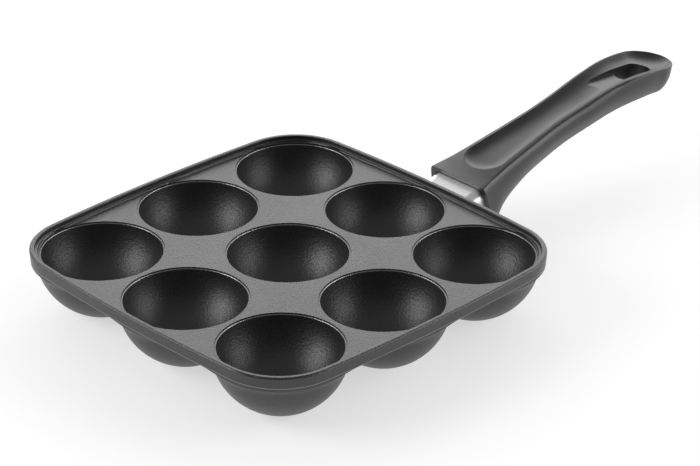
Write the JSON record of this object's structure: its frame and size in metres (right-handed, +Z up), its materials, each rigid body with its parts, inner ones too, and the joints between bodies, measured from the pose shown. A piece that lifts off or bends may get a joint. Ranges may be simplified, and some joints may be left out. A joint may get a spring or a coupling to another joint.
{
  "type": "aebleskiver pan",
  "caption": "Square cast pan with round wells for batter balls, a low stepped rim, a polished sleeve and a long scooped handle with a hanging slot.",
  "frame": {"origin": "middle of the centre well's flat foot, on the plane that the pan stands on", "axes": "+Z up out of the wells, +X from the middle of the pan along the handle"},
  "size_m": [0.3774, 0.2016, 0.0521],
  "materials": {
    "coated_casting": "grey speckled non-stick coating on cast aluminium, satin",
    "polished_steel": "polished stainless steel",
    "phenolic": "satin moulded phenolic resin",
    "screw_steel": "zinc-plated steel"
  },
  "bodies": {
    "root": {"pan_casting": "coated_casting", "ferrule": "polished_steel", "handle_grip": "phenolic", "handle_screw": "screw_steel", "spring_washer": "screw_steel", "plain_washer": "screw_steel"}
  },
  "joints": []
}
